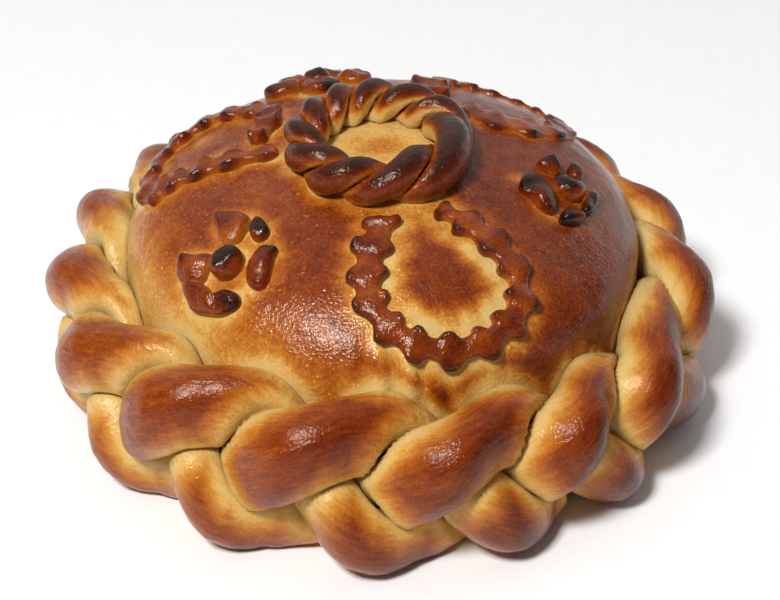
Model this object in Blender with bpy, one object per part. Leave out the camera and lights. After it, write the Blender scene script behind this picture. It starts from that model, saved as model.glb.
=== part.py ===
"""Korovai, a festive round loaf, modelled in metres with +Z up and its base on Z = 0.

A high domed loaf stands inside a plait of three fat strands. A twisted ring of two
strands lies on its crown. Round the ring, toothed ribbons bent into horseshoes take
turns with flowers of five petals about a ball. The front looks toward -Y.
"""
import math
import bpy
import bmesh
from mathutils import Vector, noise

TURN = 2 * math.pi

# The loaf: a dome over a steep-sided foot, both measured from its widest height.
LOAF_RADIUS = 0.1115
WIDEST_HEIGHT = 0.0650
DOME_RISE = 0.0530
DOME_POWER = 2.1
FOOT_DEPTH = 0.0685
FOOT_POWER = 4.5
LOAF_COLUMNS = 40
LOAF_ROWS = 20

# The plait: the upper lobes' places round the loaf, in degrees from +X, and its sections.
PLAIT_CROWNS = (-153, -129, -104, -79, -56, -36, -6, 18, 41, 66, 91, 116, 139, 160, 182)
PLAIT_SIZES = (0.90, 1, 1, 0.93, 0.86, 0.83, 0.82, 0.78, 0.76, 0.76, 0.76, 0.78, 0.80, 0.84, 0.86)
PLAIT_DEPTHS = (1, 1, 1, 1, 1, 0.96, 0.88, 0.83, 0.84, 0.86, 0.86, 0.86, 0.9, 0.92, 0.93)
LOWER_PULL = (6, 4, 1, 1, 5, 3, 1, 2, 2, 2, 2, 2, 2, 3, 5)
LOWER_LAG = (17, 17, 17, 8, -6, -17, -12, 0, 0, 0, 0, 0, 0, 8, 15)
PLAIT_STAND = 0.0150
PLAIT_MIDDLE = 0.0400
PLAIT_SWAY = 0.0235
PLAIT_WEAVE = 0.0085
STRAND_THICK = 0.0150
STRAND_SWELL = 0.0030
STRAND_TALL = 0.0215
STRAND_SQUAT = 0.0030
PLAIT_STATIONS = 90
PLAIT_SIDES = 12

# The ring on the crown: its lobes' places, its own centre and its strands' sections.
RING_CROWNS = (-160, -124, -90, -45, 26, 52, 84, 112, 137, 166)
RING_SIZES = (0.95, 1, 0.97, 1.16, 0.97, 0.95, 1, 1, 0.97, 0.95)
RING_CENTRE = (-0.001, -0.005)
RING_RADIUS = 0.0315
RING_LIFT = 0.0074
RING_WEAVE = 0.0034
RING_STRAND = 0.0072
RING_STATIONS = 50
RING_SIDES = 10

# What lies on the crust keeps a hair of air to it. Strands share theirs out between them,
# each staying clear of where the others are this share of a station before and after it.
CRUST_GAP = 0.0005
PLAIT_GAP = 0.0016
RING_GAP = 0.0007
STATION_REACH = 0.68

# Horseshoes: azimuth and distance of the middle, half width, reach of the closed and of
# the open end, the angles from the closed end where the arms stop, and the ribbon's share.
HORSESHOES = {
    "front": (-72, 0.080, 0.029, 0.026, 0.034, -150, 152, 1.00),
    "left": (164, 0.076, 0.025, 0.030, 0.038, -156, 150, 0.72),
    "back": (47, 0.078, 0.029, 0.028, 0.036, -150, 156, 0.80),
}
RIBBON_HALF = 0.0062
RIBBON_HEIGHT = 0.0048
TOOTH_PITCH = 0.0140
TOOTH_REACH = 0.0046
STEPS_PER_TOOTH = 4

# Flowers, in mm and degrees: each ball's place, then each petal's place from the flower's
# middle (to the right, down the slope), its half length and half width, and its heading.
FLOWERS = {
    "front": (-137, 0.087, (2, 0), ((-9, -12, 8.5, 10, -126), (6, -19, 5, 5.5, -77),
                                    (17, -6, 6.5, 10, -18), (8, 16, 6, 13, 66), (-12, 8, 7.5, 6.5, 146))),
    "right": (-9, 0.080, (-2, 0), ((-14, -12, 6, 10, -139), (9, -11, 5.5, 6.5, -48),
                                   (14, 3, 4.5, 5, 10), (0, 13, 4.5, 7, 95), (-19, 4, 5.5, 7, 165))),
    "back": (111, 0.079, (1, -1), ((4, -14, 5, 9, -73), (18, -3, 7, 7, -10),
                                   (9, 13, 6.5, 6.5, 55), (-9, 12, 6.5, 7, 128), (-15, -6, 7, 6.5, -158))),
}
BALL_SIZE = (0.0066, 0.0078, 0.0085)
PETAL_HEIGHT = 0.0048


def between(values, count, lap=0.0):
    """Reads a closed run of values at a fractional place; each full round adds a lap."""
    size = len(values)
    first = math.floor(count)
    part = count - first
    near = [values[(first + k) % size] + lap * ((first + k) // size) for k in (-1, 0, 1, 2)]
    leave = (near[2] - near[0]) / 2
    arrive = (near[3] - near[1]) / 2
    bend = 3 * (near[2] - near[1]) - 2 * leave - arrive
    twist = leave + arrive - 2 * (near[2] - near[1])
    return near[1] + part * (leave + part * (bend + part * twist))


def crust_reach(direction):
    """Distance from the loaf's middle to its crust along a direction."""
    flat = math.hypot(direction.x, direction.y)
    azimuth = math.atan2(direction.y, direction.x)
    radius = LOAF_RADIUS * (1 + 0.006 * math.cos(2 * azimuth + 0.6) + 0.005 * math.cos(3 * azimuth - 1))
    depth, power = (DOME_RISE, DOME_POWER) if direction.z > 0 else (FOOT_DEPTH, FOOT_POWER)
    return ((flat / radius) ** power + (abs(direction.z) / depth) ** power) ** (-1 / power)


def above_crust(point):
    """How far a point lies outside the crust, measured from the loaf's middle."""
    out = point - Vector((0, 0, WIDEST_HEIGHT))
    return out.length - crust_reach(out.normalized())


def crust_normal(point):
    """The way that the crust faces nearest a point."""
    step = 0.0002
    slope = [above_crust(point + axis) - above_crust(point - axis)
             for axis in (Vector((step, 0, 0)), Vector((0, step, 0)), Vector((0, 0, step)))]
    return Vector(slope).normalized()


def free_reach(start, direction, reach, gap):
    """The part of a reach from a start that stays clear of the crust by a gap."""
    if above_crust(start + direction * reach) >= gap:
        return reach
    clear, blocked = 0.0, reach
    for _ in range(18):
        middle = (clear + blocked) / 2
        if above_crust(start + direction * middle) >= gap:
            clear = middle
        else:
            blocked = middle
    return clear


def fair_share(mine, other, direction, reach, gap):
    """How far a strand's section reaches along a direction before it meets another strand.

    Each section is an ellipse, its centre and half sizes in (out, up). Two pressed sections
    meet where both ellipses would have to grow by the same share of their own size.
    """
    apart = ((mine[0] - other[0]) / other[2], (mine[1] - other[1]) / other[3])
    going = (direction[0] / other[2], direction[1] / other[3])
    a = going[0] ** 2 + going[1] ** 2 - 1 / reach ** 2
    b = 2 * (apart[0] * going[0] + apart[1] * going[1] - gap / reach)
    c = apart[0] ** 2 + apart[1] ** 2 - gap ** 2
    if abs(a) < 1e-9:
        roots = [-c / b]
    elif b * b < 4 * a * c:
        roots = []
    else:
        root = math.sqrt(b * b - 4 * a * c)
        roots = [(-b - root) / (2 * a), (-b + root) / (2 * a)]
    return min([reach] + [r for r in roots if r > 0])


def plait_sections(count):
    """The three strands' sections where the plait has passed so many upper lobes."""
    size = between(PLAIT_SIZES, count)
    depth = between(PLAIT_DEPTHS, count)
    pull = between(LOWER_PULL, count) / 1000
    lag = math.radians(between(LOWER_LAG, count))
    sections = []
    for strand in range(3):
        phase = TURN / 8 - TURN * (count - strand) / 3
        phase -= lag * (1 - math.cos(phase)) / 2
        over = math.sin(2 * phase)
        swell = 0.0015 * noise.noise(Vector((0.9 * count, 7.3 * strand, 1.7)))
        sections.append((
            LOAF_RADIUS + depth * (PLAIT_STAND + PLAIT_WEAVE * over) - pull * (1 - math.cos(phase)) / 2,
            size * (PLAIT_MIDDLE + PLAIT_SWAY * math.cos(phase)),
            depth * (STRAND_THICK + STRAND_SWELL * over) + swell,
            size * (STRAND_TALL - STRAND_SQUAT * math.cos(2 * phase)) + swell,
        ))
    return sections


def ring_sections(count):
    """The two strands' sections where the ring has passed so many lobes."""
    crown = WIDEST_HEIGHT + DOME_RISE * (1 - (RING_RADIUS / LOAF_RADIUS) ** DOME_POWER) ** (1 / DOME_POWER)
    sections = []
    size = between(RING_SIZES, count)
    for strand in range(2):
        phase = TURN * (count - strand) / 2
        sections.append((
            RING_RADIUS + size * RING_WEAVE * math.cos(phase),
            crown + size * (RING_LIFT + RING_WEAVE * math.sin(phase)),
            size * RING_STRAND,
            size * RING_STRAND,
        ))
    return sections


def strand(name, index, sections_at, crowns, centre, stations, sides, gap):
    """One closed strand: a torus whose sections follow the lobes and press on the others."""
    bpy.ops.mesh.primitive_torus_add(major_segments=stations, minor_segments=sides)
    piece = bpy.context.object
    middle = Vector((centre[0], centre[1], 0))
    azimuths = [math.radians(a) for a in crowns]
    for station in range(stations):
        count = len(crowns) * station / stations
        azimuth = between(azimuths, count, TURN)
        out = Vector((math.cos(azimuth), math.sin(azimuth), 0))
        mine = sections_at(count)[index]
        near = STATION_REACH * len(crowns) / stations
        others = []
        for beside in (count - near, count, count + near):
            sections = sections_at(beside)
            others += sections[:index] + sections[index + 1:]
        start = middle + out * mine[0] + Vector((0, 0, mine[1]))
        for side in range(sides):
            angle = TURN * side / sides
            across = (math.cos(angle), math.sin(angle))
            direction = out * across[0] + Vector((0, 0, across[1]))
            full = 1 / math.hypot(across[0] / mine[2], across[1] / mine[3])
            reach = min(fair_share(mine, other, across, full, gap / mine[2]) for other in others)
            if across[1] < 0:
                reach = min(reach, -mine[1] / across[1])
            reach = free_reach(start, direction, reach, 2 * CRUST_GAP)
            piece.data.vertices[station * sides + side].co = start + direction * reach
    return finish(piece, name)


def finish(piece, name):
    """Names a piece, shades it smooth and moves it to the korovai's collection."""
    piece.name = name
    piece.data.name = name
    piece.data.shade_smooth()
    for home in list(piece.users_collection):
        home.objects.unlink(piece)
    korovai.objects.link(piece)
    return piece


def laying(azimuth, distance):
    """A function that lays a flat design on the crust: (side, down, height) to a place."""
    angle = math.radians(azimuth)
    out = Vector((math.cos(angle), math.sin(angle), 0))
    rise = DOME_RISE * (1 - (distance / LOAF_RADIUS) ** DOME_POWER) ** (1 / DOME_POWER)
    spot = out * distance + Vector((0, 0, WIDEST_HEIGHT + rise))
    normal = crust_normal(spot)
    side = Vector((0, 0, 1)).cross(out)
    down = side.cross(normal)

    def lay(across, along, height):
        above = spot + side * across + down * along + normal * 0.03
        dropped = above - normal * free_reach(above, -normal, 0.09, 0)
        return dropped + crust_normal(dropped) * (height + CRUST_GAP)

    return lay


def crust_material(piece, colour, roughness):
    """A baked crust of one colour, slightly glossy from its egg wash."""
    material = bpy.data.materials.new(piece.name + "_crust")
    material.use_nodes = True
    shader = material.node_tree.nodes["Principled BSDF"]
    shader.inputs["Base Color"].default_value = (*colour, 1)
    shader.inputs["Roughness"].default_value = roughness
    shader.inputs["Metallic"].default_value = 0
    piece.data.materials.clear()
    piece.data.materials.append(material)


def loaf():
    """The round loaf itself, its foot flat on the ground."""
    bpy.ops.mesh.primitive_uv_sphere_add(segments=LOAF_COLUMNS, ring_count=LOAF_ROWS)
    piece = bpy.context.object
    for vertex in piece.data.vertices:
        direction = vertex.co.normalized()
        place = direction * crust_reach(direction)
        place.z = max(place.z + WIDEST_HEIGHT, 0)
        vertex.co = place
    return finish(piece, "loaf")


def horseshoe(name, azimuth, distance, half_width, closed, opened, first, last, share):
    """A flat ribbon with teeth on both edges, bent into a horseshoe open to the crown."""
    lay = laying(azimuth, distance)

    def centre(angle):
        along = math.cos(angle)
        return Vector((half_width * math.sin(angle), (closed if along > 0 else opened) * along, 0))

    fine = [centre(math.radians(first + (last - first) * k / 400)) for k in range(401)]
    length = sum((b - a).length for a, b in zip(fine, fine[1:]))
    teeth = round(length / (TOOTH_PITCH * (0.4 + 0.6 * share)))
    stations = teeth * STEPS_PER_TOOTH + 1
    rows = []
    travelled, k = 0.0, 0
    for station in range(stations):
        wanted = length * station / (stations - 1)
        while k < 399 and travelled + (fine[k + 1] - fine[k]).length < wanted:
            travelled += (fine[k + 1] - fine[k]).length
            k += 1
        along = (fine[k + 1] - fine[k]).normalized()
        spot = fine[k] + along * (wanted - travelled)
        across = Vector((-along.y, along.x, 0))
        edge = share * (RIBBON_HALF + TOOTH_REACH * (0.5 - 0.5 * math.cos(TURN * station / STEPS_PER_TOOTH)))
        outline = ((0, 0.07), (-edge, 0), (-edge, 0.55), (-0.62 * edge, 1), (0.62 * edge, 1), (edge, 0.55), (edge, 0))
        rows.append([(spot + across * at, high) for at, high in outline])
    form = bmesh.new()
    loops = [[form.verts.new(lay(p.x, p.y, RIBBON_HEIGHT * high)) for p, high in row] for row in rows]
    for a, b in zip(loops, loops[1:]):
        for k in range(len(a)):
            form.faces.new((a[k - 1], b[k - 1], b[k], a[k]))
    form.faces.new(loops[0])
    form.faces.new(reversed(loops[-1]))
    bmesh.ops.recalc_face_normals(form, faces=form.faces)
    mesh = bpy.data.meshes.new(name)
    form.to_mesh(mesh)
    form.free()
    piece = bpy.data.objects.new(name, mesh)
    bpy.context.collection.objects.link(piece)
    return finish(piece, name)


def pat(name, lay, spot, heading, size, columns, rows):
    """A lump of dough set down at a spot, its underside flat: a ball or a petal."""
    bpy.ops.mesh.primitive_uv_sphere_add(segments=columns, ring_count=rows)
    piece = bpy.context.object
    ahead = Vector((math.cos(heading), math.sin(heading)))
    for vertex in piece.data.vertices:
        x, y, z = vertex.co
        x, y = x * size[0], y * size[1]
        height = size[2] * (max(0.35 + z, 0) / 1.35) ** 0.8
        vertex.co = lay(spot[0] + ahead.x * x - ahead.y * y, spot[1] + ahead.y * x + ahead.x * y, height)
    piece.data.flip_normals()
    return finish(piece, name)


def flower(name, azimuth, distance, ball, petals):
    """A ball with five petals standing round it."""
    lay = laying(azimuth, distance)
    spot = (ball[0] / 1000, ball[1] / 1000)
    pieces = [pat(f"flower_{name}_ball", lay, spot, 0, BALL_SIZE, 10, 7)]
    for number, (right, down, long, wide, heading) in enumerate(petals):
        spot = (right / 1000, down / 1000)
        size = (long / 1000, wide / 1000, PETAL_HEIGHT)
        pieces.append(pat(f"flower_{name}_petal_{number + 1}", lay, spot, math.radians(heading), size, 8, 6))
    return pieces


for old in list(bpy.data.objects):
    bpy.data.objects.remove(old)
korovai = bpy.data.collections.new("korovai")
bpy.context.scene.collection.children.link(korovai)

crust_material(loaf(), (0.44, 0.15, 0.03), 0.35)
for index in range(3):
    piece = strand(f"plait_strand_{index + 1}", index, plait_sections, PLAIT_CROWNS, (0, 0),
                   PLAIT_STATIONS, PLAIT_SIDES, PLAIT_GAP)
    crust_material(piece, (0.50, 0.20, 0.05), 0.40)
for index in range(2):
    piece = strand(f"ring_strand_{index + 1}", index, ring_sections, RING_CROWNS, RING_CENTRE,
                   RING_STATIONS, RING_SIDES, RING_GAP)
    crust_material(piece, (0.13, 0.04, 0.015), 0.35)
for name, sizes in HORSESHOES.items():
    crust_material(horseshoe(f"horseshoe_{name}", *sizes), (0.10, 0.03, 0.012), 0.35)
for name, sizes in FLOWERS.items():
    for piece in flower(name, *sizes):
        crust_material(piece, (0.10, 0.03, 0.012), 0.35)
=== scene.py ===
"""Korovai, a festive round loaf, built in the order in which a baker puts it together.

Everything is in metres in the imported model's frame, with +Z up, the table at Z = 0 and the
front of the loaf toward -Y. Where a list is read in millimetres or degrees, it says so.
"""
import heapq
import math
import bpy
import bmesh
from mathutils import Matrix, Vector, noise
from mathutils.bvhtree import BVHTree


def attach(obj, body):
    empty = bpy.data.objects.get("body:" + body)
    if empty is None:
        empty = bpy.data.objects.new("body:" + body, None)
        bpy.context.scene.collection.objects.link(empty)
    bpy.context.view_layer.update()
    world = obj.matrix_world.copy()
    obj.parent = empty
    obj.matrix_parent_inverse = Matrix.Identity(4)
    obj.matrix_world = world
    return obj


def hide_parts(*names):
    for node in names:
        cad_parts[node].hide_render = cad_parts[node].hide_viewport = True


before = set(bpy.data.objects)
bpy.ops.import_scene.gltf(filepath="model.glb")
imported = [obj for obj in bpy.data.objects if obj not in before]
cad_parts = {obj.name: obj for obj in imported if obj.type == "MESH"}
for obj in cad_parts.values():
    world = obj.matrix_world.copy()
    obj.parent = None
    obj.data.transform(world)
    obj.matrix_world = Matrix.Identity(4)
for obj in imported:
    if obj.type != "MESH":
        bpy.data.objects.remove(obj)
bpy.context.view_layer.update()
noise.seed_set(7)  # without it, the lumps from noise_vector would differ from run to run

# The loaf
# A rich, eggy yeast dough, proved inside its plait, so that it stands upright at its foot
# and rises as a dome. It was brushed with egg: the crown is a glossy red-brown, the sides
# are golden, and the crust stays straw pale where the plait and the ornaments shade it.
TURN = 2 * math.pi
LOAF_RADIUS = 0.1115
OVALNESS = 0.006
OVAL_TURN = 0.6  # radians
THREE_SIDEDNESS = 0.005
THREE_SIDED_TURN = -1  # radians
WIDEST_HEIGHT = 0.0650
DOME_RISE = 0.0530
DOME_POWER = 2.1
FOOT_DEPTH = 0.0685
FOOT_POWER = 4.5
LOAF_COLUMNS = 420
LOAF_ROWS = 190
DOME_SHARE_OF_ROWS = 0.74
PAD_MIDDLE = Vector((0.0245, -0.0760, 0.105))
PAD_RISE = 0.0012
PAD_SPREAD = 0.0125
BROAD_SWELL = 0.0007
FINE_SWELL = 0.00016
PLEAT_DEPTH = 0.0016
PLEATS_MIDDLE = -84  # degrees
PLEATS_SPREAD = 11  # degrees
PLEATS_FOOT = (0.058, 0.070)
PLEATS_TOP = (0.080, 0.094)
PLEATS_PER_TURN = 62
PLEATS_SLANT = 60
PLEATS_WANDER = 1.4
RING_CENTRE = (-0.001, -0.005)
RING_RADIUS = 0.0315
WELL_RADIUS = 0.0245
WELL_SPOT = (0.0008, 0.0005)


def ease(value, low, high):
    """0 below low, 1 above high and a soft step between them."""
    share = min(max((value - low) / (high - low), 0), 1)
    return share * share * (3 - 2 * share)


def turned_from(azimuth, side):
    """0 where an azimuth is at a side, given in degrees, and 1 where it is opposite."""
    return 0.5 - 0.5 * math.cos(azimuth - math.radians(side))


def crust_reach(direction):
    """Distance from the loaf's middle to its crust along a direction."""
    flat = math.hypot(direction.x, direction.y)
    azimuth = math.atan2(direction.y, direction.x)
    oval = OVALNESS * math.cos(2 * azimuth + OVAL_TURN)
    three_sided = THREE_SIDEDNESS * math.cos(3 * azimuth + THREE_SIDED_TURN)
    radius = LOAF_RADIUS * (1 + oval + three_sided)
    depth, power = (DOME_RISE, DOME_POWER) if direction.z > 0 else (FOOT_DEPTH, FOOT_POWER)
    return ((flat / radius) ** power + (abs(direction.z) / depth) ** power) ** (-1 / power)


def dome_rise(distance):
    """How far a perfectly round dome rises above its widest height, at a distance from the axis."""
    return DOME_RISE * (1 - (distance / LOAF_RADIUS) ** DOME_POWER) ** (1 / DOME_POWER)


def above_crust(point):
    """How far a point lies outside the crust, measured from the loaf's middle."""
    out = point - Vector((0, 0, WIDEST_HEIGHT))
    return out.length - crust_reach(out.normalized())


def pleats(place, azimuth):
    """The folds where the dough was tucked in at the front of the foot, from -1 to 1."""
    front = math.exp(-((math.degrees(azimuth) - PLEATS_MIDDLE) / PLEATS_SPREAD) ** 2)
    foot = ease(place.z, *PLEATS_FOOT) * (1 - ease(place.z, *PLEATS_TOP))
    wander = PLEATS_WANDER * noise.noise(place * 60)
    return front * foot * math.sin(PLEATS_PER_TURN * azimuth + PLEATS_SLANT * place.z + wander)


def loaf_relief(place, azimuth):
    """The unevenness that proving and baking leave on the dome, outward in metres."""
    broad = BROAD_SWELL * noise.fractal(place * 28, 0.6, 2.0, 3)
    fine = FINE_SWELL * noise.fractal(place * 190 + Vector((5, 0, 0)), 0.7, 2.0, 3)
    pad = PAD_RISE * math.exp(-((place - PAD_MIDDLE).length / PAD_SPREAD) ** 2 / 2)
    return broad + fine + pad + PLEAT_DEPTH * pleats(place, azimuth)


class Flow:
    """A shader socket that takes part in sums: each operator adds its Math node."""

    def __init__(self, socket):
        self.socket = socket

    def reckon(self, operation, first, second):
        node = self.socket.id_data.nodes.new("ShaderNodeMath")
        node.operation = operation
        pour(first, node.inputs[0])
        pour(second, node.inputs[1])
        return Flow(node.outputs[0])

    def __add__(self, other):
        return self.reckon("ADD", self, other)

    def __radd__(self, other):
        return self.reckon("ADD", other, self)

    def __sub__(self, other):
        return self.reckon("SUBTRACT", self, other)

    def __rsub__(self, other):
        return self.reckon("SUBTRACT", other, self)

    def __mul__(self, other):
        return self.reckon("MULTIPLY", self, other)

    def __rmul__(self, other):
        return self.reckon("MULTIPLY", other, self)


def pour(value, entry):
    """Fills a shader input with a number, a colour or the flow from another node."""
    if isinstance(value, Flow):
        entry.id_data.links.new(value.socket, entry)
    else:
        entry.default_value = value


class Finish:
    """A material and its nodes, all added by one method."""

    def __init__(self, name):
        self.material = bpy.data.materials.new(name)
        self.material.use_nodes = True
        self.nodes = self.material.node_tree.nodes
        self.nodes.clear()

    def add(self, kind, settings, sockets, out=0):
        node = self.nodes.new(kind)
        for name, value in settings.items():
            if name == "stops":
                ramp = node.color_ramp.elements
                ramp[0].position, ramp[0].color = value[0]
                ramp[1].position, ramp[1].color = value[-1]
                for position, colour in value[1:-1]:
                    ramp.new(position).color = colour
            else:
                setattr(node, name, value)
        for name, value in sockets.items():
            pour(value, node.inputs[name])
        return Flow(node.outputs[out]) if node.outputs else node


def linear(colour):
    """A colour seen on a screen, 0 to 255, as the light that a shader reckons with."""
    parts = [c / 255 for c in colour]
    return (*(p / 12.92 if p <= 0.04045 else ((p + 0.055) / 1.055) ** 2.4 for p in parts), 1)


CRUST_COLOURS = (  # how far a crust is baked, and its colour on a screen
    (0.00, (208, 177, 112)),  # cream
    (0.16, (206, 160, 82)),  # straw
    (0.30, (189, 123, 46)),  # golden
    (0.46, (163, 86, 22)),  # amber
    (0.62, (127, 51, 9)),  # chestnut
    (0.76, (92, 29, 4)),  # mahogany
    (0.90, (44, 17, 9)),  # treacle
    (1.00, (20, 10, 8)),  # charred
)
CLOUD_SCALE = 42
PATCH_SCALE = 165
CRUMB_SCALE = 760
SKIN_SCALE = 380
STROKE_SCALE = 230
HAIR_SCALE = 620
BLISTER_SCALE = 290
PATCH_SHARE = 0.8
CRUMB_SHARE = 1.6
HAIR_SHARE = 0.6
CRUMB_DEPTH = 1.1
HAIR_DEPTH = 0.8
BLISTER_DEPTH = 0.4
CRUST_DEPTH = 0.0006
CRUST_RELIEF = 0.45
UNEVEN_GLOSS = 0.20
EGG_WASH_TINT = (1.0, 0.86, 0.68, 1)
EGG_WASH_ROUGHNESS = 0.20
CRUST_IOR = 1.45


def baked_crust(name, mottling, gloss, coat, roughness=0.15, streaks=0, blisters=0):
    """Egg-washed crust, coloured by how long the oven reached it: the browning attribute."""
    finish = Finish(name)
    place = finish.add("ShaderNodeTexCoord", {}, {}, "Object")
    browning = finish.add("ShaderNodeAttribute", {"attribute_name": "browning"}, {}, "Fac")

    def grain(scale, detail=3, where=place):
        return finish.add("ShaderNodeTexNoise", {}, {
            "Vector": where, "Scale": scale, "Detail": detail, "Roughness": 0.6}, "Fac") - 0.5

    def stretched(value, entries):
        return finish.add("ShaderNodeMapRange", {}, {"Value": value, **entries}, 0)

    clouds = grain(CLOUD_SCALE)
    patches = grain(PATCH_SCALE)
    crumb = grain(CRUMB_SCALE)
    skin = grain(SKIN_SCALE, 2)
    level = browning + mottling * clouds + PATCH_SHARE * mottling * patches + CRUMB_SHARE * mottling * crumb
    height = CRUMB_DEPTH * crumb + skin
    if streaks:
        drawn = finish.add("ShaderNodeAttribute", {"attribute_name": "grain"}, {}, "Vector")
        strokes = grain(STROKE_SCALE, 3, drawn)
        hairs = grain(HAIR_SCALE, 2, drawn)
        level = level + streaks * strokes + HAIR_SHARE * streaks * hairs
        height = height + strokes + HAIR_DEPTH * hairs
    if blisters:
        cells = finish.add("ShaderNodeTexVoronoi", {}, {
            "Vector": place, "Scale": BLISTER_SCALE, "Randomness": 1}, "Distance")
        picked = stretched(patches + clouds, {"From Min": -0.02, "From Max": 0.06})
        spot = stretched(cells, {"From Min": 0.12, "From Max": 0.24, "To Min": 1, "To Max": 0})
        pimples = spot * picked
        level = level - blisters * pimples
        height = height + BLISTER_DEPTH * pimples
    stops = [(share, linear(colour)) for share, colour in CRUST_COLOURS]
    colour = finish.add("ShaderNodeValToRGB", {"stops": stops}, {"Fac": level}, "Color")
    bump = finish.add("ShaderNodeBump", {}, {
        "Strength": CRUST_RELIEF, "Distance": CRUST_DEPTH, "Height": height}, "Normal")
    shell = finish.add("ShaderNodeBsdfPrincipled", {}, {
        "Base Color": colour, "Roughness": roughness + UNEVEN_GLOSS * patches, "Normal": bump,
        "IOR": CRUST_IOR, "Specular IOR Level": gloss, "Specular Tint": EGG_WASH_TINT,
        "Coat Weight": coat, "Coat Roughness": EGG_WASH_ROUGHNESS, "Coat IOR": CRUST_IOR,
        "Subsurface Weight": 0.04, "Subsurface Radius": (1.0, 0.3, 0.1), "Subsurface Scale": 0.003,
    })
    finish.add("ShaderNodeOutputMaterial", {}, {"Surface": shell})
    return finish.material


tray = []


def set_down(form, node, material, browned):
    """Finishes a shaped lump of dough as the piece that stands for a node of the frame."""
    bmesh.ops.remove_doubles(form, verts=form.verts, dist=1e-7)
    bmesh.ops.recalc_face_normals(form, faces=form.faces)
    for face in form.faces:
        face.smooth = True
    mesh = bpy.data.meshes.new("baked_" + node)
    form.to_mesh(mesh)
    form.free()
    mesh.materials.append(material)
    piece = bpy.data.objects.new("baked_" + node, mesh)
    bpy.context.scene.collection.objects.link(piece)
    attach(piece, "root")
    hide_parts(node)
    tray.append((piece, browned))


CROWN_BROWN = 0.66
# The next five values darken the loaf's right side, away from the lamp, and pale its left foot, toward the
# lamp. This is partly uneven browning and partly painted shade and painted light.
RED_AND_SHADED_SIDE = -35  # degrees
RED_SIDE_BROWN_AND_SHADE = 0.06
BROWN_AND_SHADED_SIDE = -25  # degrees
FOOT_HEIGHTS = (0.070, 0.104)
FOOT_PALE_AND_LIT = 0.43
PLEATS_BROWN = 0.12
EDGE_HEIGHTS = (0.078, 0.092)
EDGE_PALE = 0.38
FRONT_EDGE_PALE = 0.30
APRON_MIDDLE = -72  # degrees
APRON_SPREAD = 26  # degrees
APRON_PALE = 0.58
HALO_PALE = 0.30
WELL_PALE = 0.08
WELL_SCORCH = 0.30
WELL_SCORCH_SPREAD = (0.012, 0.009)
SHADES = (  # azimuth in degrees, distance from the axis and spread in millimetres, paleness
    (-142, 69, 4.5, 0.26), (-138, 93, 6, 0.22), (-126, 92, 5, 0.26), (-134, 83, 5, 0.28),
    (-60, 71, 4, 0.32), (-57, 80, 5, 0.36), (-57, 92, 5, 0.34), (-87, 71, 3.5, 0.28), (-88, 80, 3.5, 0.28),
    (-81, 90, 4, 0.30), (-78, 96, 4.5, 0.26), (-70, 96, 5, 0.28), (-63, 96, 5, 0.28),
    (-174, 43, 5, 0.30), (-54, 49, 5, 0.26), (-14, 60, 4.5, 0.30), (-25, 77, 4.5, 0.24),
    (32, 62, 5, 0.20), (122, 66, 6, 0.26), (100, 92, 6, 0.26), (160, 84, 6, 0.22), (172, 70, 5, 0.24),
    (48, 86, 6, 0.26),
)
shaded = []
for turned, away, spread, pale in SHADES:
    toward = Vector((math.cos(math.radians(turned)), math.sin(math.radians(turned))))
    shaded.append((toward * away / 1000, spread, pale))


def loaf_browning(place, facing, near, wide, seam):
    """Red-brown above and to the right, golden at the left foot, pale wherever the oven's heat was shaded
    off. The darker right and the paler left foot are partly painted shade and painted light.
    """
    azimuth = math.atan2(place.y, place.x)
    left = ease(turned_from(azimuth, BROWN_AND_SHADED_SIDE), 0.1, 0.6)
    foot = 1 - ease(place.z, *FOOT_HEIGHTS)
    red_and_shaded_side = math.cos(azimuth - math.radians(RED_AND_SHADED_SIDE))
    level = CROWN_BROWN + RED_SIDE_BROWN_AND_SHADE * red_and_shaded_side - FOOT_PALE_AND_LIT * left * foot
    level += PLEATS_BROWN * pleats(place, azimuth)
    low = 1 - ease(place.z, *EDGE_HEIGHTS)
    front = ease(turned_from(azimuth, BROWN_AND_SHADED_SIDE), 0.0, 0.35)
    level *= 1 - (EDGE_PALE + FRONT_EDGE_PALE * front) * low * (1 - ease(seam, -0.001, 0.009))
    level *= 1 - FRONT_EDGE_PALE * front * (1 - ease(seam, 0.001, 0.009))
    apron = math.exp(-((math.degrees(azimuth) - APRON_MIDDLE) / APRON_SPREAD) ** 2)
    level *= 1 - APRON_PALE * apron * (1 - ease(seam, 0.003, 0.015))
    level -= 0.04 * front * low * (1 - ease(seam, 0.004, 0.018))
    for spot, spread, pale in shaded:
        level -= pale * math.exp(-((place.xy - spot).length / spread * 1000) ** 2)
    patch = ease(noise.noise(place * 60 + Vector((0, 0, 3))), -0.15, 0.25)
    level -= HALO_PALE * (1 - ease(near, 0.45, 0.75)) * (0.35 + 0.65 * patch)
    level -= 0.10 * (1 - ease(seam, 0, 0.006)) * patch
    off = math.hypot(place.x - RING_CENTRE[0], place.y - RING_CENTRE[1])
    well = 1 - ease(off, WELL_RADIUS - 0.001, WELL_RADIUS + 0.002)
    scorched = math.hypot((place.x - WELL_SPOT[0]) / WELL_SCORCH_SPREAD[0],
                          (place.y - WELL_SPOT[1]) / WELL_SCORCH_SPREAD[1])
    floor = WELL_PALE + WELL_SCORCH * math.exp(-scorched ** 2) + 0.06 * noise.noise(place * 150)
    return max(level + (floor - level) * well, 0.02)


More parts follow.
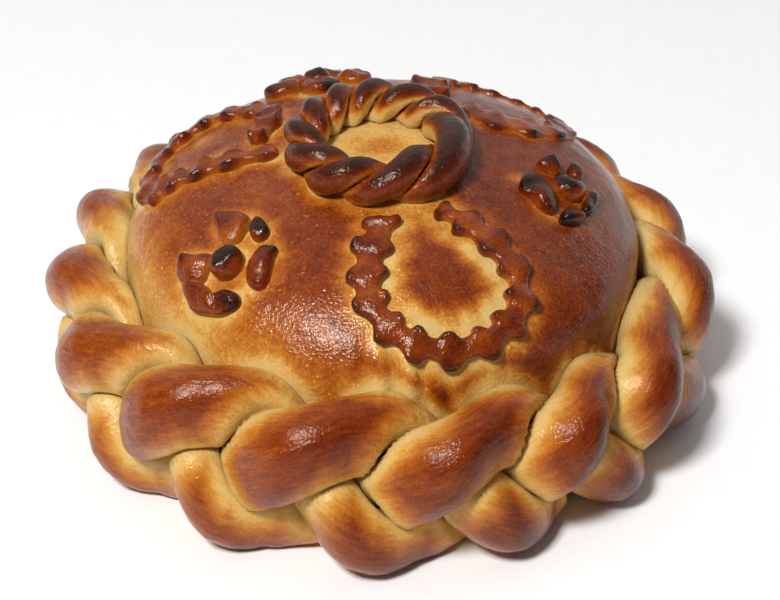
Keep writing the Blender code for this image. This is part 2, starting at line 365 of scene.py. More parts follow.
loaf = bmesh.new()
bmesh.ops.create_uvsphere(loaf, u_segments=LOAF_COLUMNS, v_segments=LOAF_ROWS, radius=1)
for vertex in loaf.verts:
    azimuth = math.atan2(vertex.co.y, vertex.co.x)
    share = math.acos(min(max(vertex.co.z, -1), 1)) / math.pi
    if share < DOME_SHARE_OF_ROWS:
        polar = share / DOME_SHARE_OF_ROWS * math.pi / 2
    else:
        polar = math.pi / 2 * (1 + (share - DOME_SHARE_OF_ROWS) / (1 - DOME_SHARE_OF_ROWS))
    flat = math.sin(polar)
    direction = Vector((flat * math.cos(azimuth), flat * math.sin(azimuth), math.cos(polar)))
    place = direction * crust_reach(direction) + Vector((0, 0, WIDEST_HEIGHT))
    place += direction * loaf_relief(place, azimuth) * ease(place.z, 0.010, 0.030)
    place.z = max(place.z, 0)
    vertex.co = place
dome_crust = baked_crust("dome_crust", mottling=0.26, gloss=0.48, coat=0.05, blisters=0.22)
set_down(loaf, "loaf", dome_crust, loaf_browning)

# The plait
# Three fat strands of the same dough, plaited and wrapped round the loaf before it proved.
# They swell against each other, so each lobe is plump with a pressed crease round it. Its
# back is browned, its edges are pale, and rolling has left fine streaks along the strand.
PLAIT_CROWNS = (-153, -129, -104, -79, -56, -36, -6, 18, 41, 66, 91, 116, 139, 160, 182)  # degrees
PLAIT_SIZES = (0.90, 1, 1, 0.93, 0.86, 0.83, 0.82, 0.78, 0.76, 0.76, 0.76, 0.78, 0.80, 0.84, 0.86)
PLAIT_DEPTHS = (1, 1, 1, 1, 1, 0.96, 0.88, 0.83, 0.84, 0.86, 0.86, 0.86, 0.9, 0.92, 0.93)
LOWER_PULL = (6, 4, 1, 1, 5, 3, 1, 2, 2, 2, 2, 2, 2, 3, 5)  # millimetres
LOWER_LAG = (17, 17, 17, 8, -6, -17, -12, 0, 0, 0, 0, 0, 0, 8, 15)  # degrees
PLAIT_STAND = 0.0150
PLAIT_MIDDLE = 0.0400
PLAIT_SWAY = 0.0235
PLAIT_WEAVE = 0.0085
MIDDLE_PUFF = 0.15
UNDER_PUFF = 0.45
STRAND_THICK = 0.0150
STRAND_SWELL = 0.0030
STRAND_TALL = 0.0215
STRAND_SQUAT = 0.0030
PLAIT_STATIONS = 460
PLAIT_SIDES = 56
PLAIT_GAP = 0.0001
PLAIT_ROUNDING = 0.0010
PLUMPNESS = 2.2
STRAND_LUMPS = 0.0015
STRAND_UNEVENNESS = 0.0006
STATION_REACH = 0.68
CRUST_GAP = 0.0003
CREASE_PALE = 0.04
EDGE_BROWN = 0.27
BACK_BROWN = 0.31
OUTWARD_BROWN = 0.08
# The next value darkens flanks that face right, away from the lamp, as painted shade. The three after it
# pale the left side, toward the lamp, partly as painted light.
RIGHT_FACING_SHADE = 0.12
BROWN_AND_SHADED_PLAIT_SIDE = -20  # degrees
LIT_LOW_LEFT_PALENESS = 0.13
LIT_LEFT_PALENESS = 0.02


def between(values, count, closed=True):
    """Reads a run of numbers or points at a fractional place along it, as a smooth curve."""
    first = math.floor(count)
    part = count - first
    size = len(values)
    places = range(first - 1, first + 3)
    near = [values[k % size] if closed else values[min(max(k, 0), size - 1)] for k in places]
    leave = (near[2] - near[0]) / 2
    arrive = (near[3] - near[1]) / 2
    bend = 3 * (near[2] - near[1]) - 2 * leave - arrive
    twist = leave + arrive - 2 * (near[2] - near[1])
    return near[1] + (leave + (bend + twist * part) * part) * part


def least(values, rounding):
    """The least of several reaches, rounded over where two of them are nearly equal."""
    result = values[0]
    for value in values[1:]:
        near = max(rounding - abs(result - value), 0) / rounding
        result = min(result, value) - near * near * rounding / 4
    return result


def fair_shares(mine, other, direction, gap):
    """Where a section, an ellipse, meets another strand's if both are pressed alike."""
    full = 1 / math.hypot(direction[0] / mine[2], direction[1] / mine[3])
    plump = abs(direction[0] / mine[2]) ** PLUMPNESS + abs(direction[1] / mine[3]) ** PLUMPNESS
    plump = (1 + mine[4] * max(direction[0], 0)) * plump ** (-1 / PLUMPNESS)
    apart = ((mine[0] - other[0]) / other[2], (mine[1] - other[1]) / other[3])
    going = (direction[0] / other[2], direction[1] / other[3])
    a = going[0] ** 2 + going[1] ** 2 - 1 / full ** 2
    b = 2 * (apart[0] * going[0] + apart[1] * going[1] - gap / full)
    c = apart[0] ** 2 + apart[1] ** 2 - gap ** 2
    if abs(a) < 1e-9:
        roots = [-c / b]
    elif b * b < 4 * a * c:
        roots = []
    else:
        root = math.sqrt(b * b - 4 * a * c)
        roots = [(-b - root) / (2 * a), (-b + root) / (2 * a)]
    return [plump] + [r for r in roots if r > 0]


def free_reach(start, direction, reach, gap):
    """The part of a reach from a start that stays clear of the crust by a gap."""
    if above_crust(start + direction * reach) >= gap:
        return reach
    clear, blocked = 0.0, reach
    for _ in range(14):
        middle = (clear + blocked) / 2
        if above_crust(start + direction * middle) >= gap:
            clear = middle
        else:
            blocked = middle
    return clear


def plait_sections(count):
    """The strands' sections, (out, up, half depth, half height), so many lobes round."""
    size = between(PLAIT_SIZES, count)
    depth = between(PLAIT_DEPTHS, count)
    pull = between(LOWER_PULL, count) / 1000
    lag = math.radians(between(LOWER_LAG, count))
    sections = []
    for index in range(3):
        phase = TURN / 8 - TURN * (count - index) / 3
        phase -= lag * (1 - math.cos(phase)) / 2
        over = math.sin(2 * phase)
        puff = MIDDLE_PUFF * math.sin(phase) ** 6 + UNDER_PUFF * max(-over, 0)
        swell = STRAND_LUMPS * noise.noise(Vector((0.9 * count, 7.3 * index, 1.7)))
        sections.append((
            LOAF_RADIUS + depth * (PLAIT_STAND + PLAIT_WEAVE * over) - pull * (1 - math.cos(phase)) / 2,
            size * (PLAIT_MIDDLE + PLAIT_SWAY * math.cos(phase)),
            depth * (STRAND_THICK + STRAND_SWELL * over) + swell,
            size * (STRAND_TALL - STRAND_SQUAT * math.cos(2 * phase)) + swell,
            puff,
        ))
    return sections


def rolled_strand(index, sections_at, crowns, centre, stations, sides, gap, rounding, unevenness):
    """One closed strand: a hoop whose sections follow the lobes and press on the others."""
    form = bmesh.new()
    drawn = form.verts.layers.float_vector.new("grain")
    bmesh.ops.create_circle(form, segments=sides, radius=1)
    for vertex in form.verts:
        vertex.co = Vector((2 + vertex.co.x, 0, vertex.co.y))
    bmesh.ops.spin(form, geom=form.verts[:] + form.edges[:], cent=(0, 0, 0), axis=(0, 0, 1),
                   angle=TURN, steps=stations, use_merge=True)
    middle = Vector((centre[0], centre[1], 0))
    laps = [math.radians(a - 360) for a in crowns[-2:]] + [math.radians(a) for a in crowns]
    laps += [math.radians(a + 360) for a in crowns[:3]]
    near = STATION_REACH * len(crowns) / stations
    rows = {}
    for vertex in form.verts:
        station = round(math.atan2(vertex.co.y, vertex.co.x) / TURN * stations) % stations
        rows.setdefault(station, []).append(vertex)
    for station, row in rows.items():
        count = len(crowns) * station / stations
        azimuth = between(laps, count + 2, closed=False)
        out = Vector((math.cos(azimuth), math.sin(azimuth), 0))
        mine = sections_at(count)[index]
        others = []
        for beside in (count - near, count, count + near):
            sections = sections_at(beside)
            others += sections[:index] + sections[index + 1:]
        start = middle + out * mine[0] + Vector((0, 0, mine[1]))
        for vertex in row:
            angle = math.atan2(vertex.co.z, math.hypot(vertex.co.x, vertex.co.y) - 2)
            across = (math.cos(angle), math.sin(angle))
            direction = out * across[0] + Vector((0, 0, across[1]))
            reaches = []
            for other in others:
                reaches += fair_shares(mine, other, across, gap / mine[2])
            reach = least(reaches, rounding)
            where = (start + direction * reach) * 55 + Vector((0, 0, index))
            reach += unevenness * noise.fractal(where, 0.6, 2.0, 3)
            if across[1] < 0:
                reach = min(reach, -mine[1] / across[1])
            reach = free_reach(start, direction, reach, CRUST_GAP)
            vertex.co = start + direction * reach
            ring = 0.2 * mine[0] + 2 * mine[2] * across[0]
            vertex[drawn] = Vector((ring * out.x, ring * out.y, 2 * mine[3] * across[1] + index))
    return form


def plait_browning(place, facing, near, wide, seam):
    """The lobes' backs are brown, their creases and their undersides stay pale. The darkening of flanks that
    face right is painted shade, and the paler left side is partly painted light.
    """
    azimuth = math.atan2(place.y, place.x)
    outward = facing.x * math.cos(azimuth) + facing.y * math.sin(azimuth)
    left = turned_from(azimuth, BROWN_AND_SHADED_PLAIT_SIDE)
    low = 1 - ease(place.z, 0.012, 0.055)
    level = CREASE_PALE + EDGE_BROWN * ease(seam, 0.002, 0.012) + BACK_BROWN * ease(seam, 0.008, 0.023)
    level += OUTWARD_BROWN * outward + RIGHT_FACING_SHADE * facing.x
    return level - LIT_LOW_LEFT_PALENESS * left * low - LIT_LEFT_PALENESS * left


plait_crust = baked_crust("plait_crust", mottling=0.13, gloss=0.38, coat=0.05, streaks=0.28)
for index in range(3):
    strand = rolled_strand(index, plait_sections, PLAIT_CROWNS, (0, 0), PLAIT_STATIONS, PLAIT_SIDES,
                           PLAIT_GAP, PLAIT_ROUNDING, STRAND_UNEVENNESS)
    set_down(strand, f"plait_strand_{index + 1}", plait_crust, plait_browning)

# The ring on the crown
# Two thin ropes of dough twisted together and closed into a ring. It stands highest in the
# oven, so the back of each twist is nearly black, while the well inside it stays pale.
RING_CROWNS = (-160, -124, -90, -45, 26, 52, 84, 112, 137, 166)  # degrees
RING_SIZES = (0.95, 1, 0.97, 1.16, 0.97, 0.95, 1, 1, 0.97, 0.95)
RING_LIFT = 0.0074
RING_WEAVE = 0.0032
RING_STRAND = 0.0078
RING_STATIONS = 260
RING_SIDES = 36
RING_GAP = 0.0002
RING_ROUNDING = 0.0016
RING_UNEVENNESS = 0.00025
RING_CREASE_BROWN = 0.36
RING_BACK_BROWN = 0.28
RING_TOP_BROWN = 0.22
RING_OUTWARD_BROWN = 0.06
RING_INSIDE_PALE = 0.45


def ring_sections(count):
    """The two strands' sections where the ring has passed so many lobes."""
    crown = WIDEST_HEIGHT + dome_rise(RING_RADIUS)
    size = between(RING_SIZES, count)
    sections = []
    for index in range(2):
        phase = TURN * (count - index) / 2
        sections.append((
            RING_RADIUS + size * RING_WEAVE * math.cos(phase),
            crown + size * (RING_LIFT + RING_WEAVE * math.sin(phase)),
            size * RING_STRAND,
            size * RING_STRAND,
            0,
        ))
    return sections


def ring_browning(place, facing, near, wide, seam):
    """Nearly black backs, red-brown flanks, amber creases and a pale inner wall."""
    middle = Vector((RING_CENTRE[0], RING_CENTRE[1], place.z))
    outward = facing.dot((place - middle).normalized())
    inside = ease(-outward, 0.1, 0.8) * (1 - ease(facing.z, 0.0, 0.55))
    level = RING_CREASE_BROWN + RING_BACK_BROWN * ease(seam, 0.0004, 0.0050)
    level += RING_TOP_BROWN * ease(facing.z, 0.1, 0.9) + RING_OUTWARD_BROWN * outward
    return level - RING_INSIDE_PALE * inside


ring_crust = baked_crust("ring_crust", mottling=0.16, gloss=0.40, coat=0.08, roughness=0.16, streaks=0.14)
for index in range(2):
    strand = rolled_strand(index, ring_sections, RING_CROWNS, RING_CENTRE, RING_STATIONS, RING_SIDES,
                           RING_GAP, RING_ROUNDING, RING_UNEVENNESS)
    set_down(strand, f"ring_strand_{index + 1}", ring_crust, ring_browning)

# The horseshoes
# Ribbons cut from a rolled sheet of firmer dough, snipped into teeth along both edges and
# bent into horseshoes that open toward the crown. They were stuck on with egg, and their
# teeth caught most.
HORSESHOES = {  # each row is a tooth's outer and inner tip, right and down the slope, in millimetres
    "front": dict(azimuth=-72, distance=0.080, thickness=0.0060, waist=0.56, burning=0.24, clump=1.0, teeth=(
        (-24.0, -33.0, -7.6, -29.6), (-30.7, -23.7, -14.6, -15.9), (-38.0, -9.3, -19.8, -7.1),
        (-39.1, 4.6, -22.2, 2.8), (-32.9, 20.2, -19.7, 11.1), (-21.2, 31.0, -14.3, 17.8),
        (-6.2, 36.5, -4.1, 22.5), (12.9, 34.9, 7.3, 22.5), (27.0, 28.4, 16.1, 18.0),
        (36.2, 17.5, 22.9, 10.8), (37.7, -0.3, 22.8, 2.2), (31.8, -14.9, 18.1, -7.4),
        (25.0, -27.5, 11.1, -19.3), (13.6, -34.2, 6.3, -27.6))),
    "left": dict(azimuth=164, distance=0.076, thickness=0.0056, waist=0.76, burning=0.20, clump=1.3, teeth=(
        (19, -32, 11, -31), (24, -16, 14, -16), (28, -1, 17, -3), (32, 10, 19, 8), (35, 19, 20, 15),
        (27, 30, 16, 22), (12, 35, 8, 25), (-5, 36, -4, 25), (-20, 30, -14, 20), (-30, 17, -20, 12),
        (-32, 3, -21, 2), (-30, -11, -19, -10), (-25, -24, -15, -15), (-11, -29, -8, -18),
        (3, -27, 2, -18))),
    "back": dict(azimuth=47, distance=0.078, thickness=0.0042, waist=0.80, burning=0.26, clump=1.7, teeth=(
        (-6, -33, -1, -21), (-21, -31, -11, -16), (-33, -18, -20, -6), (-38, -1, -23, 4), (-34, 16, -21, 11),
        (-22, 29, -13, 19), (-6, 36, -3, 23), (11, 35, 7, 22), (26, 29, 16, 17), (37, 18, 22, 10),
        (41, 3, 25, 0), (37, -12, 22, -9), (33, -24, 18, -16), (20, -34, 11, -22))),
}
STATIONS_PER_TOOTH = 24
RIBBON_SIDES = 36
TOOTH_SPREAD = 0.27
END_LENGTH = 0.26
CLUMP_TEETH = (2.2, 0.8)
SQUARENESS = 2.9
FOOT_CUT = 0.35
RIBBON_SINK = 0.0007
RIBBON_LUMPS = ((110, 0.0007), (330, 0.0003))  # how many to the metre, and their size
RIBBON_UNEVENNESS = 0.20
TOOTH_SIZE = 0.92
TOOTH_UNEVENNESS = 0.5
BIGGEST_TOOTH = 1.1
WAIST_HEIGHT = 0.80
TOOTH_HEIGHT = 0.14
TIP_HEIGHT = 0.30
TOOTH_BURN = 0.12
TIP_BURN = 0.80
ORNAMENT_BROWN = 0.50
OPEN_BROWN = 0.15
ORNAMENT_MOTTLING = 0.16
NOTCH_PALE = 0.22


def crust_normal(point):
    """The way that the crust faces nearest a point."""
    step = 0.0002
    slope = [above_crust(point + axis) - above_crust(point - axis)
             for axis in (Vector((step, 0, 0)), Vector((0, step, 0)), Vector((0, 0, step)))]
    return Vector(slope).normalized()


def laying(azimuth, distance):
    """A function that lays a flat design on the crust: (side, down, height) to a place."""
    angle = math.radians(azimuth)
    out = Vector((math.cos(angle), math.sin(angle), 0))
    spot = out * distance + Vector((0, 0, WIDEST_HEIGHT + dome_rise(distance)))
    normal = crust_normal(spot)
    side = Vector((0, 0, 1)).cross(out)
    down = side.cross(normal)

    def lay(across, along, height):
        above = spot + side * across + down * along + normal * 0.03
        dropped = above - normal * free_reach(above, -normal, 0.09, 0)
        return dropped + crust_normal(dropped) * height

    return lay


def squared(across, up):
    """A point of a circle moved out to a squarer one whose foot is tucked in and cut flat."""
    reach = (abs(across) ** SQUARENESS + abs(up) ** SQUARENESS) ** (-1 / SQUARENESS)
    return across * reach, (max(up * reach, -FOOT_CUT) + FOOT_CUT) / (1 + FOOT_CUT)


def toothed_ribbon(azimuth, distance, thickness, waist, burning, clump, teeth):
    """A closed tube along the pairs of teeth, as wide as the waist's share of them in between."""
    lay = laying(azimuth, distance)
    outer = [Vector((a, b)) / 1000 for a, b, _, _ in teeth]
    inner = [Vector((c, d)) / 1000 for _, _, c, d in teeth]
    last = len(teeth) - 1
    form = bmesh.new()
    scorch = form.verts.layers.float.new("scorch")
    bmesh.ops.create_cone(form, cap_ends=True, segments=RIBBON_SIDES, radius1=1, radius2=1, depth=1)
    uprights = [e for e in form.edges if abs(e.verts[0].co.z - e.verts[1].co.z) > 0.5]
    bmesh.ops.subdivide_edges(form, edges=uprights, cuts=last * STATIONS_PER_TOOTH - 1)
    for vertex in form.verts:
        place = (vertex.co.z + 0.5) * (last + 2 * END_LENGTH) - END_LENGTH
        held = min(max(place, 0), last)
        out, into = between(outer, held, closed=False), between(inner, held, closed=False)
        middle = (out + into) / 2
        if place != held:
            before = round(held + math.copysign(1, held - place))
            middle += (middle - (outer[before] + inner[before]) / 2) * abs(place - held)
        tooth = math.exp(-abs((held - round(held)) / TOOTH_SPREAD) ** 3)
        luck = noise.noise(Vector((2.7 * round(held), azimuth, math.copysign(3, vertex.co.x))))
        tooth *= min(TOOTH_SIZE + TOOTH_UNEVENNESS * luck, BIGGEST_TOOTH)
        ending = min(place, last - place) / END_LENGTH + 1
        close = math.sqrt(max(1 - (1 - ending) ** 2, 0.0004)) if ending < 1 else 1
        wide, lift = squared(vertex.co.x, vertex.co.y)
        spot = middle + (out - into) / 2 * wide * (waist + (1 - waist) * tooth) * close
        tip = tooth * ease(abs(wide), 0.50, 0.90)
        lift *= thickness * (WAIST_HEIGHT + TOOTH_HEIGHT * tooth + TIP_HEIGHT * tip) * (0.25 + 0.75 * close)
        here = Vector((spot.x, spot.y, azimuth))
        lumps = Vector((0, 0, 0))
        for often, size in RIBBON_LUMPS:
            lumps += noise.noise_vector(here * often) * size
        lift *= 1 + RIBBON_UNEVENNESS * noise.noise(here * 160)
        lift *= 1 + (clump - 1) * ease(held, last - CLUMP_TEETH[0], last - CLUMP_TEETH[1])
        vertex.co = lay(spot.x + lumps.x, spot.y + lumps.y, lift - RIBBON_SINK)
        vertex[scorch] = burning * (TOOTH_BURN * tooth + TIP_BURN * tip)
    return form


def ornament_browning(place, facing, near, wide, seam):
    """Mahogany all over, amber down in the notches and here and there on the back."""
    level = ORNAMENT_BROWN + OPEN_BROWN * ease(wide, 0.55, 0.97)
    level += ORNAMENT_MOTTLING * noise.noise(place * 130)
    return level - NOTCH_PALE * (1 - ease(near, 0.35, 0.85))


horseshoe_crust = baked_crust("horseshoe_crust", mottling=0.20, gloss=0.46, coat=0.08)
for name, sizes in HORSESHOES.items():
    set_down(toothed_ribbon(**sizes), f"horseshoe_{name}", horseshoe_crust,
             ornament_browning)

# The flowers
# Each flower is a ball of dough with petals pinched from the rolled sheet set round it.
# They stand between the horseshoes. The ball is burnt nearly black on top.
FLOWERS = {  # each petal is the number of its burnt point and its outline, laid out as above
    "front": dict(azimuth=-137, distance=0.087, ball=(3.6, 0.6), tall=0.0095, petals=(
        (1, ((-19.0, -12.3), (-20.2, -15.0), (-14.6, -18.6), (-7.1, -20.8), (-3.0, -18.1),
             (-0.8, -11.5), (-2.2, -7.4), (-5.5, -5.3), (-12.4, -8.1))),
        (3, ((-1.7, -17.6), (-3.1, -21.5), (0.9, -22.8), (6.1, -21.1), (8.0, -17.6), (6.5, -14.5),
             (2.6, -14.2))),
        (3, ((10.9, -4.4), (9.7, -10.1), (11.1, -14.1), (16.0, -16.3), (18.4, -12.0), (22.4, -5.9),
             (24.0, 0.5), (21.4, 3.3), (16.2, 1.9))),
        (6, ((-10.5, 16.7), (-4.2, 13.8), (1.8, 12.4), (7.4, 13.8), (11.3, 9.6), (16.6, 8.4),
             (19.7, 11.1), (18.8, 14.8), (13.9, 19.4), (4.9, 23.1), (-2.3, 22.1))),
        (0, ((-19.5, 7.9), (-12.5, 4.4), (-5.9, 1.2), (-3.5, 3.8), (-2.4, 7.9), (-1.7, 11.5),
             (-4.0, 15.7), (-10.5, 16.7), (-15.6, 14.2))))),
    "right": dict(azimuth=-9, distance=0.080, ball=(-2.4, -0.2), tall=0.0075, petals=(
        (1, ((-11.1, -20.9), (-6.1, -20.2), (-2.6, -15.5), (-4.8, -11.3), (-8.9, -6.6),
             (-15.0, -3.8), (-21.3, -4.3), (-20.9, -9.5), (-17.4, -15.1), (-15.7, -18.8))),
        (2, ((7.1, -15.7), (13.1, -12.6), (14.8, -9.1), (10.3, -6.2), (7.1, -4.8), (4.7, -7.7),
             (4.9, -12.4))),
        (1, ((13.4, -1.6), (17.1, -0.2), (16.5, 3.1), (11.4, 5.1), (7.8, 3.1), (8.6, -0.2))),
        (5, ((-4.6, 6.7), (2.6, 7.4), (5.7, 11.2), (2.0, 13.5), (-5.8, 13.0), (-11.2, 10.3),
             (-11.0, 7.9))),
        (6, ((-22.1, -1.1), (-16.4, -0.4), (-13.7, 4.0), (-14.4, 8.0), (-18.5, 8.7), (-22.9, 4.4),
             (-24.1, 0.9))))),
    "back": dict(azimuth=111, distance=0.079, ball=(1, -1), tall=0.0085, petals=(
        (2, ((-4, -10), (-5, -16), (-1, -20), (6, -19.5), (11, -16), (11.5, -10), (7, -7), (1, -7))),
        (3, ((11, -7), (17, -10), (24, -7), (26, 0), (22, 4.5), (14, 3.5), (10, -1))),
        (3, ((5, 8), (11, 6), (15.5, 9), (16, 15), (12, 20), (5, 19), (2, 13))),
        (3, ((-4, 6), (-10, 5), (-15, 9), (-16.5, 15), (-12, 19), (-5, 18), (-1, 12))),
        (3, ((-7, -8), (-13, -13), (-20, -12), (-22.5, -6), (-20, 0), (-12, 2), (-7, -2))))),
}
BALL_HALF = (0.0062, 0.0074)
PETAL_HEIGHT = 0.0064
PAT_LUMPS = 0.0006
PAT_UNEVENNESS = 0.28
PETAL_SINK = 0.0006
PETAL_SCORCH = 0.32
SCORCH_SPREAD = 0.0070
PETAL_BROWN = 0.45
# The next two values darken the flowers on the right of the loaf, away from the lamp, and leave those on the
# left paler. This is partly painted shade.
RIGHT_PETAL_BROWN_AND_SHADE = 0.17
LIT_PALE_PETAL_SIDE = 175  # degrees
PETAL_OPEN_BROWN = 0.16
BALL_BROWN = 0.62
BALL_BURN = 0.34


def pinched_pat(lay, outline, height, columns, rows, seed, burnt=None):
    """A lump of dough with a given outline, domed above, that may be burnt at one point of it."""
    middle = sum(outline, Vector((0, 0))) / len(outline)
    form = bmesh.new()
    scorch = form.verts.layers.float.new("scorch")
    bmesh.ops.create_uvsphere(form, u_segments=columns, v_segments=rows, radius=1)
    for vertex in form.verts:
        count = math.atan2(vertex.co.y, vertex.co.x) / TURN * len(outline)
        edge = between(outline, count % len(outline))
        wide, lift = squared(math.hypot(vertex.co.x, vertex.co.y), vertex.co.z)
        spot = middle + (edge - middle) * wide
        here = Vector((spot.x, spot.y, seed))
        lumps = noise.noise_vector(here * 150) * PAT_LUMPS
        lift *= height * (1 + PAT_UNEVENNESS * noise.noise(here * 140))
        vertex.co = lay(spot.x + lumps.x, spot.y + lumps.y, lift - PETAL_SINK)
        if burnt is not None:
            away = (spot - outline[burnt]).length
            vertex[scorch] = PETAL_SCORCH * math.exp(-(away / SCORCH_SPREAD) ** 2)
    return form


def petal_browning(place, facing, near, wide, seam):
    """Red-brown in the middle and amber at the foot, darker on the right of the loaf, which is partly
    painted shade. Burnt points come on top of that.
    """
    right = turned_from(math.atan2(place.y, place.x), LIT_PALE_PETAL_SIDE)
    level = PETAL_BROWN + RIGHT_PETAL_BROWN_AND_SHADE * right + PETAL_OPEN_BROWN * ease(wide, 0.55, 0.97)
    level += ORNAMENT_MOTTLING * noise.noise(place * 120)
    return level - NOTCH_PALE * (1 - ease(near, 0.35, 0.85))


def ball_browning(place, facing, near, wide, seam):
    """Nearly black above, mahogany round the side."""
    burnt = ease(facing.z, 0.1, 1.0) * ease(wide, 0.5, 1.0)
    level = BALL_BROWN + BALL_BURN * burnt + 0.06 * noise.noise(place * 150)
    return level - 0.2 * (1 - ease(near, 0.35, 0.85))


flower_crust = baked_crust("flower_crust", mottling=0.22, gloss=0.46, coat=0.08)
for name, flower in FLOWERS.items():
    azimuth = flower["azimuth"]
    lay = laying(azimuth, flower["distance"])
    across, along = (side / 1000 for side in flower["ball"])
    round_edge = [Vector((across + BALL_HALF[0] * math.cos(TURN * k / 8),
                          along + BALL_HALF[1] * math.sin(TURN * k / 8))) for k in range(8)]
    set_down(pinched_pat(lay, round_edge, flower["tall"], 48, 30, azimuth), f"flower_{name}_ball",
             flower_crust, ball_browning)
    for number, (burnt, outline) in enumerate(flower["petals"]):
        edge = [Vector(point) / 1000 for point in outline]
        set_down(pinched_pat(lay, edge, PETAL_HEIGHT, 56, 30, azimuth + number, burnt),
                 f"flower_{name}_petal_{number + 1}", flower_crust, petal_browning)

# The bake
# The oven's heat comes from all round, so whatever stands open browns and whatever its
# neighbours shade stays pale. From each point of the crust, feelers go out over the half
# sphere that it faces, and how far they get is how well the heat reached it.
FEELERS = 20
FEELER_LEAN = 0.985
FEELER_START = 0.0004
NEAR_HEAT = 0.0060
WIDE_HEAT = 0.0260
PRESSED = 0.6
FAR_FROM_SEAMS = 1.0
golden_turn = math.pi * (3 - math.sqrt(5))


def seam_distances(mesh, near):
    """How far each point lies, along the crust, from where the dough is pressed or shaded."""
    beside = [[] for _ in mesh.vertices]
    for edge in mesh.edges:
        a, b = edge.vertices
        length = (mesh.vertices[a].co - mesh.vertices[b].co).length
        beside[a].append((b, length))
        beside[b].append((a, length))
    away = [0.0 if share < PRESSED else FAR_FROM_SEAMS for share in near]
    reached = [(0.0, k) for k, share in enumerate(near) if share < PRESSED]
    heapq.heapify(reached)
    while reached:
        gone, k = heapq.heappop(reached)
        if gone > away[k]:
            continue
        for other, length in beside[k]:
            if gone + length < away[other]:
                away[other] = gone + length
                heapq.heappush(reached, (gone + length, other))
    return away


feelers = []
for k in range(FEELERS):
    flat = math.sqrt((k + 0.5) / FEELERS) * FEELER_LEAN
    turned = k * golden_turn
    feelers.append((flat * math.cos(turned), flat * math.sin(turned), math.sqrt(1 - flat * flat)))
corners, faces = [], []
for piece, _ in tray:
    first = len(corners)
    corners += [v.co.copy() for v in piece.data.vertices]
    faces += [[first + k for k in face.vertices] for face in piece.data.polygons]
oven = BVHTree.FromPolygons(corners, faces)
for piece, browned in tray:
    nears, wides = [], []
    for vertex in piece.data.vertices:
        facing = vertex.normal
        side = Vector((facing.z, 0, -facing.x)) if abs(facing.y) > 0.9 else Vector((facing.y, -facing.x, 0))
        if side.length < 1e-4:
            side = Vector((1, 0, 0))
        side.normalize()
        other = facing.cross(side)
        start = vertex.co + facing * FEELER_START
        near = wide = 0.0
        for a, b, c in feelers:
            hit = oven.ray_cast(start, side * a + other * b + facing * c, WIDE_HEAT)
            gone = WIDE_HEAT if hit[0] is None else hit[3]
            near += min(gone / NEAR_HEAT, 1)
            wide += gone / WIDE_HEAT
        nears.append(near / FEELERS)
        wides.append(wide / FEELERS)
    seams = seam_distances(piece.data, nears)
    levels = [browned(v.co, v.normal, *heat) for v, *heat in zip(piece.data.vertices, nears, wides, seams)]
    if "scorch" in piece.data.attributes:
        levels = [level + burn.value for level, burn in zip(levels, piece.data.attributes["scorch"].data)]
    layer = piece.data.attributes.new("browning", "FLOAT", "POINT")
    layer.data.foreach_set("value", levels)

# The table, the light and the camera
# A plain white table in a plain white room that is brighter behind the loaf. One soft lamp
# in front and a little to the left shows in the egg wash as a window, and a faint one far
# round on the right gives the back a sheen.
TABLE_HALF = 8
TABLE_SHADES = (0.88, 0.92)
table = bmesh.new()
bmesh.ops.create_grid(table, x_segments=1, y_segments=1, size=TABLE_HALF)
table_mesh = bpy.data.meshes.new("table")
table.to_mesh(table_mesh)
table.free()
paper = Finish("table_paper")
paper_place = paper.add("ShaderNodeTexCoord", {}, {}, "Object")
paper_grain = paper.add("ShaderNodeTexNoise", {}, {"Vector": paper_place, "Scale": 90}, "Fac")
paper_stops = [(end, (shade, shade, shade, 1)) for end, shade in enumerate(TABLE_SHADES)]
paper_tone = paper.add("ShaderNodeValToRGB", {"stops": paper_stops}, {"Fac": paper_grain}, "Color")
paper_shell = paper.add("ShaderNodeBsdfPrincipled", {}, {"Base Color": paper_tone, "Roughness": 0.9})
paper.add("ShaderNodeOutputMaterial", {}, {"Surface": paper_shell})
table_mesh.materials.append(paper.material)
table_top = bpy.data.objects.new("table", table_mesh)
bpy.context.scene.collection.objects.link(table_top)

LOOKED_AT = Vector((0.0038, 0, 0.036))


def aimed(azimuth, elevation, distance):
    """A place round the loaf, and the turn that looks from it at the loaf's middle."""
    flat = math.cos(math.radians(elevation)) * distance
    angle = math.radians(azimuth)
    rise = math.sin(math.radians(elevation)) * distance
    place = LOOKED_AT + Vector((flat * math.cos(angle), flat * math.sin(angle), rise))
    return place, (LOOKED_AT - place).to_track_quat("-Z", "Y").to_euler()


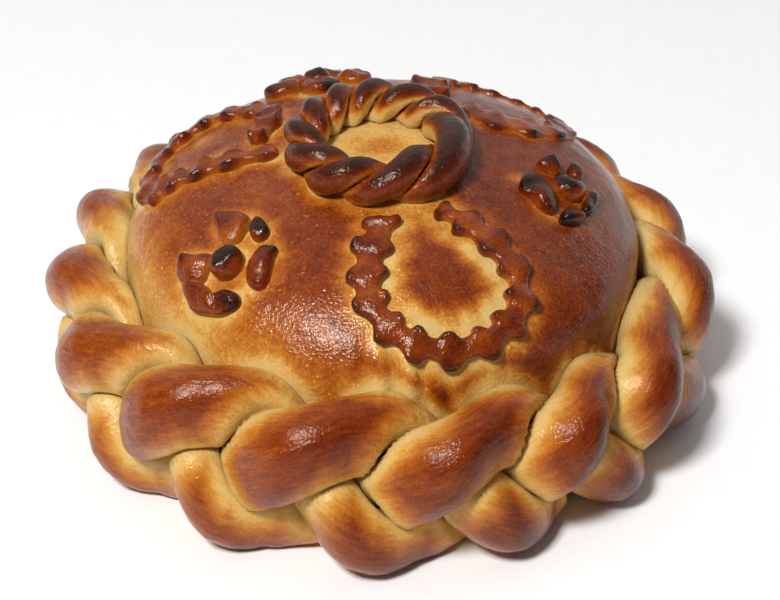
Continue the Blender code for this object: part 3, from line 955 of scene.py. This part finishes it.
LAMPS = {  # azimuth and elevation in degrees, distance, width and watts
    "window": (-119, 54, 2.5, 0.45, 66.0),
    "far_sheen": (35, 14, 1.6, 0.8, 2.0),
}
for name, (azimuth, elevation, distance, side, power) in LAMPS.items():
    light = bpy.data.lights.new(name, "AREA")
    light.size = side
    light.energy = power
    lamp = bpy.data.objects.new(name, light)
    lamp.location, lamp.rotation_euler = aimed(azimuth, elevation, distance)
    bpy.context.scene.collection.objects.link(lamp)

FRONT_GLOW = 0.10
BACK_GLOW = 0.60
GLOW_FROM = (0, 0.64, 0.77)
GLOW_STARTS = 0.25


def room(name):
    """A plain room, dim in front of the loaf and bright above and behind it."""
    surround = bpy.data.worlds.new(name)
    surround.use_nodes = True
    nodes, links = surround.node_tree.nodes, surround.node_tree.links
    way = nodes.new("ShaderNodeTexCoord")
    lean = nodes.new("ShaderNodeVectorMath")
    lean.operation = "DOT_PRODUCT"
    lean.inputs[1].default_value = GLOW_FROM
    glow = nodes.new("ShaderNodeMapRange")
    glow.interpolation_type = "SMOOTHSTEP"
    glow.inputs["From Min"].default_value = GLOW_STARTS
    glow.inputs["From Max"].default_value = 1.0
    glow.inputs["To Min"].default_value = FRONT_GLOW
    glow.inputs["To Max"].default_value = BACK_GLOW
    links.new(way.outputs["Generated"], lean.inputs[0])
    links.new(lean.outputs["Value"], glow.inputs["Value"])
    links.new(glow.outputs["Result"], nodes["Background"].inputs["Strength"])
    nodes["Background"].inputs["Color"].default_value = (1, 1, 1, 1)
    return surround


bpy.context.scene.world = room("room")

CAMERA_AZIMUTH = -90  # degrees
CAMERA_ELEVATION = 36.5  # degrees
CAMERA_DISTANCE = 1.0
PHOTO_WIDTH = 780  # pixels
FOCAL_LENGTH = 2230  # pixels
lens = bpy.data.cameras.new("camera")
lens.sensor_width = 36
lens.lens = FOCAL_LENGTH * lens.sensor_width / PHOTO_WIDTH
camera = bpy.data.objects.new("camera", lens)
camera.location, camera.rotation_euler = aimed(CAMERA_AZIMUTH, CAMERA_ELEVATION, CAMERA_DISTANCE)
bpy.context.scene.collection.objects.link(camera)
bpy.context.scene.camera = camera
bpy.context.scene.view_settings.view_transform = "Standard"
